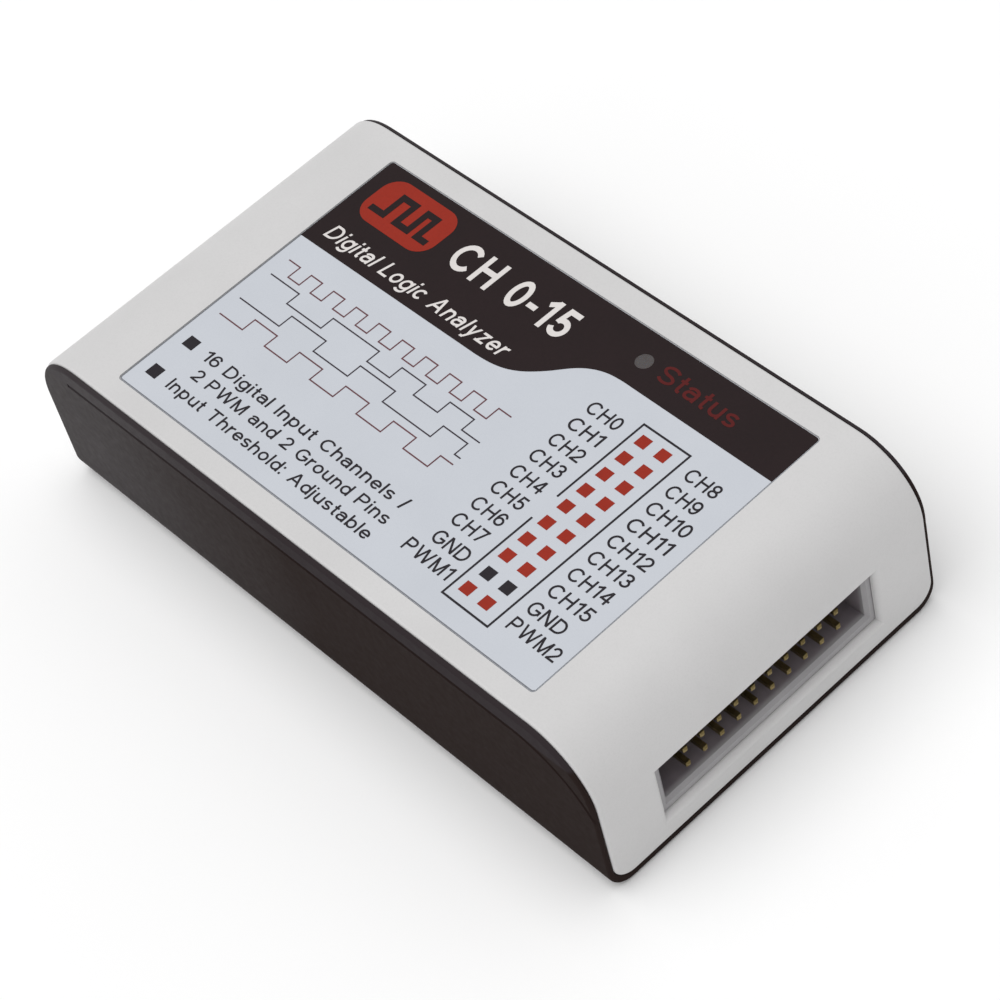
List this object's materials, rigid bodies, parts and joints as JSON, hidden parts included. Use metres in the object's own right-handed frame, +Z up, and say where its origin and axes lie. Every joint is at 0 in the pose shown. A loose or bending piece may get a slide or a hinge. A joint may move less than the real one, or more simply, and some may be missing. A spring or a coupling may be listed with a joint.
{
  "type": "logic analyzer",
  "caption": "Flat two-tone box for digital signal capture: arched light cover in a dark tray, printed label, light window, shrouded pin header in front, USB inlet behind.",
  "frame": {"origin": "centre of the underside", "axes": "+X towards the end with the pin header, +Z up from the underside, +Y towards the side with the dark label band"},
  "size_m": [0.093, 0.05, 0.023],
  "materials": {
    "cover_plastic": "fine satin moulded texture",
    "case_plastic": "fine matte moulded texture",
    "label_film": "printed polycarbonate film, satin",
    "light_pipe_clear": "clear moulded, unlit",
    "screw_steel": "zinc plated",
    "board_laminate": "solder mask",
    "shroud_plastic": "moulded",
    "pin_gold": "gold flash",
    "inlet_steel": "tin plated",
    "inlet_insulator_plastic": "moulded",
    "chip_mould": "moulded epoxy",
    "tin_lead": "tin plated",
    "resistor_black": "glazed",
    "tantalum_yellow": "moulded",
    "capacitor_ceramic": "fired ceramic",
    "ferrite_grey": "pressed ferrite",
    "fuse_green": "moulded",
    "can_metal": "drawn can",
    "led_white": "clear epoxy"
  },
  "bodies": {
    "root": {"top_cover": "cover_plastic", "bottom_case": "case_plastic", "top_label": "label_film", "status_light_pipe": "light_pipe_clear", "case_screws": "screw_steel", "main_pcb": "board_laminate", "header_shroud": "shroud_plastic", "header_pins": "pin_gold", "usb_inlet_shell": "inlet_steel", "usb_inlet_insulator": "inlet_insulator_plastic", "usb_inlet_contacts": "pin_gold", "fpga_body": "chip_mould", "fpga_leads": "tin_lead", "memory_body": "chip_mould", "memory_leads": "tin_lead", "usb_controller": "chip_mould", "config_flash_body": "chip_mould", "config_flash_leads": "tin_lead", "input_buffer_bodies": "chip_mould", "input_buffer_leads": "tin_lead", "input_resistor_arrays": "resistor_black", "input_clamp_diodes": "chip_mould", "voltage_regulator_bodies": "chip_mould", "voltage_regulator_leads": "tin_lead", "tantalum_capacitors": "tantalum_yellow", "ceramic_capacitors": "capacitor_ceramic", "chip_resistors": "resistor_black", "power_inductor": "ferrite_grey", "resettable_fuse": "fuse_green", "crystal_can": "can_metal", "status_led": "led_white"}
  },
  "joints": []
}
